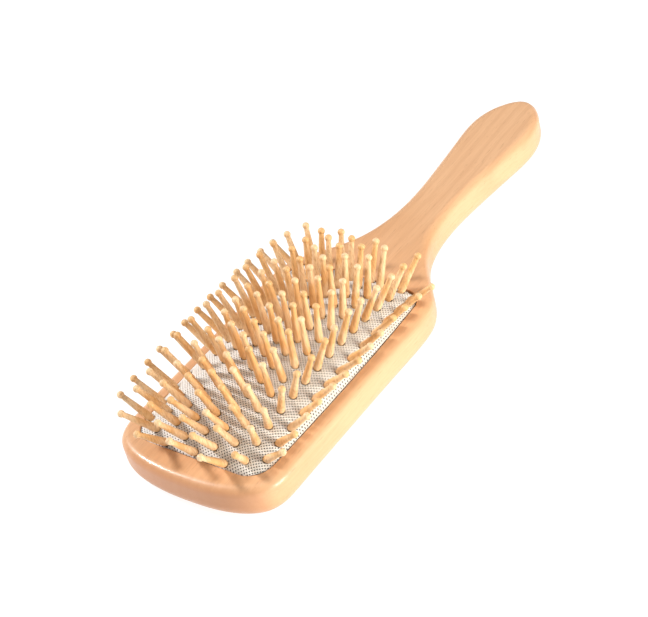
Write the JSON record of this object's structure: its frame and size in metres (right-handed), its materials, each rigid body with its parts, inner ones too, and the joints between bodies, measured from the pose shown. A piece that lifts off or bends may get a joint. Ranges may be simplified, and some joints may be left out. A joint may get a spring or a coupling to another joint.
{
  "type": "paddle brush",
  "caption": "Wooden paddle hairbrush with a domed fabric-faced air cushion and splayed ball-tipped wooden pins set in staggered rows.",
  "frame": {"origin": "on the plane of the flat back, under the middle of the whole brush with its splayed pins", "axes": "+X across the head, +Y along the brush towards the end of the handle, +Z from the back up through the pins"},
  "size_m": [0.0796, 0.25, 0.0431],
  "materials": {
    "paddle_wood": "clear satin varnish over pale close-grained wood",
    "pin_wood": "smooth turned and oiled wood",
    "rubber": "matt natural rubber sheet",
    "fabric": "off-white open plain weave bonded to the rubber"
  },
  "bodies": {
    "paddle": {"paddle_body": "paddle_wood"},
    "cushion": {"cushion_rubber": "rubber", "cushion_fabric": "fabric"},
    "pins_front_row": {"pins_front_row": "pin_wood"},
    "pins_back_row": {"pins_back_row": "pin_wood"},
    "pins_left_edge": {"pins_left_edge": "pin_wood"},
    "pins_right_edge": {"pins_right_edge": "pin_wood"},
    "pins_column_1_front": {"pins_column_1_front": "pin_wood"},
    "pins_column_1_back": {"pins_column_1_back": "pin_wood"},
    "pins_column_2_front": {"pins_column_2_front": "pin_wood"},
    "pins_column_2_back": {"pins_column_2_back": "pin_wood"},
    "pins_column_3_front": {"pins_column_3_front": "pin_wood"},
    "pins_column_3_back": {"pins_column_3_back": "pin_wood"},
    "pins_column_4_front": {"pins_column_4_front": "pin_wood"},
    "pins_column_4_back": {"pins_column_4_back": "pin_wood"},
    "pins_column_5_front": {"pins_column_5_front": "pin_wood"},
    "pins_column_5_back": {"pins_column_5_back": "pin_wood"},
    "pins_column_6_front": {"pins_column_6_front": "pin_wood"},
    "pins_column_6_back": {"pins_column_6_back": "pin_wood"},
    "pins_column_7_front": {"pins_column_7_front": "pin_wood"},
    "pins_column_7_back": {"pins_column_7_back": "pin_wood"}
  },
  "joints": [
    {"name": "cushion_press", "type": "slide", "parent": "paddle", "child": "cushion", "axis": [0, 0, -1], "range_m": [0, 0.003], "stiffness_N_per_m": 5000, "deforming": ["cushion_rubber", "cushion_fabric"]},
    {"name": "front_row_rock", "type": "hinge", "parent": "paddle", "child": "pins_front_row", "pos_m": [0, -0.10948, 0.01578], "axis": [1, 0, 0], "range_deg": [-12, 6], "stiffness_Nm_per_rad": 0.35},
    {"name": "back_row_rock", "type": "hinge", "parent": "paddle", "child": "pins_back_row", "pos_m": [0, -0.00829, 0.01594], "axis": [-1, 0, 0], "range_deg": [-12, 6], "stiffness_Nm_per_rad": 0.35},
    {"name": "left_edge_rock", "type": "hinge", "parent": "paddle", "child": "pins_left_edge", "pos_m": [-0.02674, -0.05715, 0.01687], "axis": [0, -1, 0], "range_deg": [-12, 6], "stiffness_Nm_per_rad": 0.65},
    {"name": "right_edge_rock", "type": "hinge", "parent": "paddle", "child": "pins_right_edge", "pos_m": [0.02674, -0.05715, 0.01687], "axis": [0, 1, 0], "range_deg": [-12, 6], "stiffness_Nm_per_rad": 0.65},
    {"name": "column_1_front_rock", "type": "hinge", "parent": "cushion", "child": "pins_column_1_front", "pos_m": [-0.02054, -0.08077, 0.01972], "axis": [0, 0.9969, 0.0789], "range_deg": [-12, 12], "stiffness_Nm_per_rad": 0.3},
    {"name": "column_1_back_rock", "type": "hinge", "parent": "cushion", "child": "pins_column_1_back", "pos_m": [-0.02054, -0.03395, 0.01945], "axis": [0, 0.9958, -0.0916], "range_deg": [-12, 12], "stiffness_Nm_per_rad": 0.3},
    {"name": "column_2_front_rock", "type": "hinge", "parent": "cushion", "child": "pins_column_2_front", "pos_m": [-0.01369, -0.08442, 0.02088], "axis": [0, 0.9934, 0.1147], "range_deg": [-12, 12], "stiffness_Nm_per_rad": 0.3},
    {"name": "column_2_back_rock", "type": "hinge", "parent": "cushion", "child": "pins_column_2_back", "pos_m": [-0.01369, -0.03764, 0.02137], "axis": [0, 0.9959, -0.09], "range_deg": [-12, 12], "stiffness_Nm_per_rad": 0.3},
    {"name": "column_3_front_rock", "type": "hinge", "parent": "cushion", "child": "pins_column_3_front", "pos_m": [-0.00686, -0.08075, 0.02213], "axis": [0, 0.9948, 0.1014], "range_deg": [-12, 12], "stiffness_Nm_per_rad": 0.3},
    {"name": "column_3_back_rock", "type": "hinge", "parent": "cushion", "child": "pins_column_3_back", "pos_m": [-0.00686, -0.03397, 0.02178], "axis": [0, 0.9928, -0.1197], "range_deg": [-12, 12], "stiffness_Nm_per_rad": 0.3},
    {"name": "column_4_front_rock", "type": "hinge", "parent": "cushion", "child": "pins_column_4_front", "pos_m": [-0.00002, -0.08441, 0.02193], "axis": [0, 0.9919, 0.1272], "range_deg": [-12, 12], "stiffness_Nm_per_rad": 0.3},
    {"name": "column_4_back_rock", "type": "hinge", "parent": "cushion", "child": "pins_column_4_back", "pos_m": [-0.00003, -0.03765, 0.02247], "axis": [0, 0.995, -0.0997], "range_deg": [-12, 12], "stiffness_Nm_per_rad": 0.3},
    {"name": "column_5_front_rock", "type": "hinge", "parent": "cushion", "child": "pins_column_5_front", "pos_m": [0.00686, -0.08075, 0.02213], "axis": [0, 0.9948, 0.1014], "range_deg": [-12, 12], "stiffness_Nm_per_rad": 0.3},
    {"name": "column_5_back_rock", "type": "hinge", "parent": "cushion", "child": "pins_column_5_back", "pos_m": [0.00686, -0.03397, 0.02178], "axis": [0, 0.9928, -0.1197], "range_deg": [-12, 12], "stiffness_Nm_per_rad": 0.3},
    {"name": "column_6_front_rock", "type": "hinge", "parent": "cushion", "child": "pins_column_6_front", "pos_m": [0.01369, -0.08442, 0.02088], "axis": [0, 0.9934, 0.1147], "range_deg": [-12, 12], "stiffness_Nm_per_rad": 0.3},
    {"name": "column_6_back_rock", "type": "hinge", "parent": "cushion", "child": "pins_column_6_back", "pos_m": [0.01369, -0.03764, 0.02137], "axis": [0, 0.9959, -0.09], "range_deg": [-12, 12], "stiffness_Nm_per_rad": 0.3},
    {"name": "column_7_front_rock", "type": "hinge", "parent": "cushion", "child": "pins_column_7_front", "pos_m": [0.02054, -0.08077, 0.01972], "axis": [0, 0.9969, 0.0789], "range_deg": [-12, 12], "stiffness_Nm_per_rad": 0.3},
    {"name": "column_7_back_rock", "type": "hinge", "parent": "cushion", "child": "pins_column_7_back", "pos_m": [0.02054, -0.03395, 0.01945], "axis": [0, 0.9958, -0.0916], "range_deg": [-12, 12], "stiffness_Nm_per_rad": 0.3}
  ]
}
